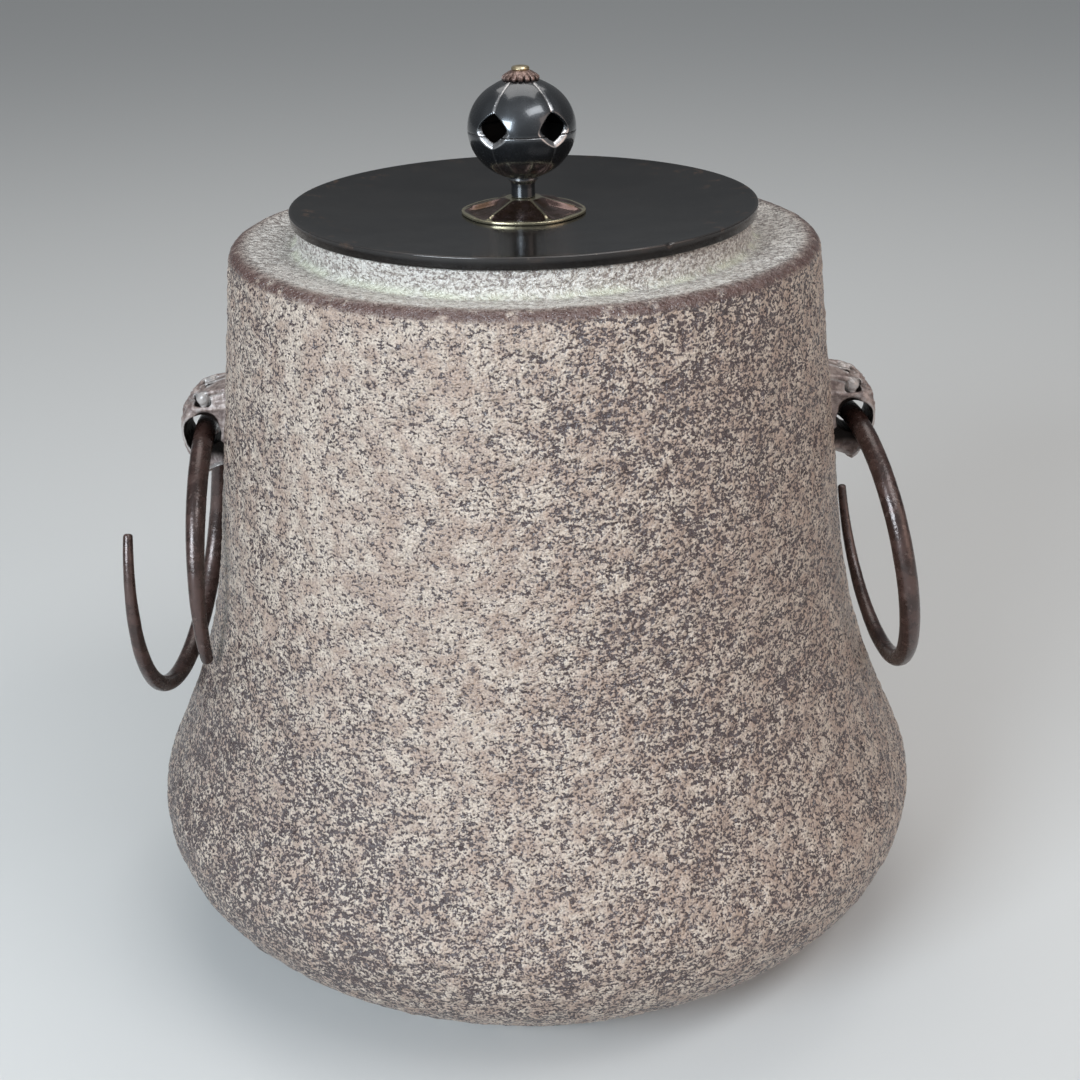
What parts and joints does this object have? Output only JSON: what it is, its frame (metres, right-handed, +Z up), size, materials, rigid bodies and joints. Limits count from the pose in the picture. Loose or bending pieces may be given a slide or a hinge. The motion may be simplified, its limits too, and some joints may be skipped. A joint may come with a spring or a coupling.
{
  "type": "tea ceremony kettle",
  "caption": "Flared cast iron tea kettle with mask lugs, loose open carrying rings and a lift-off bronze lid with a hollow openwork ball knob.",
  "frame": {"origin": "centre of the flat base", "axes": "+Z up through the knob, -Y the front, the ring lugs on the X axis"},
  "size_m": [0.2488, 0.2488, 0.272],
  "materials": {
    "kettle_iron": "rough sand-grained casting with tan oxide over dark purple-brown iron, rubbed glossy at the shoulder",
    "lug_iron": "satin cast iron with lacquered sheen and tan dust in the recesses",
    "ring_iron": "satin dark reddish-brown forged iron",
    "plain_iron": "dull grey-brown plate",
    "lid_bronze": "near-black patinated bronze, satin gloss",
    "petal_brass": "brown patina with pale rubbed ridges",
    "knob_bronze": "polished black patina with rubbed silvery edges",
    "rosette_copper": "satin pinkish copper",
    "button_brass": "rubbed pale brass"
  },
  "bodies": {
    "kettle": {"kettle_body": "kettle_iron", "sounding_iron_back": "plain_iron", "sounding_iron_left": "plain_iron", "sounding_iron_right": "plain_iron", "lug_left": "lug_iron", "lug_right": "lug_iron"},
    "ring_left": {"ring_left": "ring_iron"},
    "ring_right": {"ring_right": "ring_iron"},
    "lid": {"lid_plate": "lid_bronze", "knob_base_plate": "petal_brass", "under_washer": "petal_brass"},
    "knob": {"knob_stem": "knob_bronze", "knob_lower_shell": "knob_bronze", "knob_upper_shell": "knob_bronze", "knob_rosette": "rosette_copper", "knob_button": "button_brass"}
  },
  "joints": [
    {"name": "ring_left_swing", "type": "hinge", "parent": "kettle", "child": "ring_left", "pos_m": [-0.1008, 0, 0.1643], "axis": [-0.0488, 0.9988, 0], "range_deg": [-0.8, 150]},
    {"name": "ring_right_swing", "type": "hinge", "parent": "kettle", "child": "ring_right", "pos_m": [0.1008, 0, 0.1643], "axis": [0.1378, -0.9905, 0], "range_deg": [-0.8, 160]},
    {"name": "lid_lift", "type": "slide", "parent": "kettle", "child": "lid", "axis": [0, 0, 1], "range_m": [0, 0.1]},
    {"name": "knob_turn", "type": "hinge", "parent": "lid", "child": "knob", "pos_m": [0, 0, 0.2542], "axis": [0, 0, 1], "continuous": true}
  ]
}
